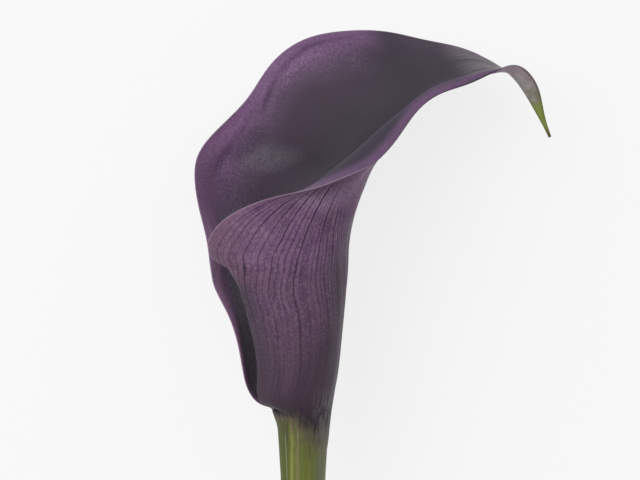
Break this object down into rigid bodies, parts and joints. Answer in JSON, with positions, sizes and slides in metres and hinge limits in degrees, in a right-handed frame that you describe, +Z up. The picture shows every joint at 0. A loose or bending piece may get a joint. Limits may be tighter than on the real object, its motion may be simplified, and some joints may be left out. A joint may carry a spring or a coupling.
{
  "type": "calla lily flower",
  "caption": "Cut calla lily on its side: a leaf rolled into a tube, flaring to a wide mouth with a curled tip, round a hidden spike of florets on a long bowed stem.",
  "frame": {"origin": "on the table under the middle of the whole flower's box", "axes": "+X to the flower's right seen from its open side, +Y along the flower from the cut end of the stem to the mouth, +Z up from the table it lies on"},
  "size_m": [0.0976, 0.247, 0.0503],
  "materials": {
    "spathe_skin": "satin, mottled purple with fine dark veins, paler along the margin",
    "stem_skin": "satin, olive green with fine lengthwise streaks, purple at the top",
    "floret_skin": "matt, grainy yellow"
  },
  "bodies": {
    "root": {"stem": "stem_skin", "spathe": "spathe_skin", "spadix": "floret_skin"}
  },
  "joints": []
}
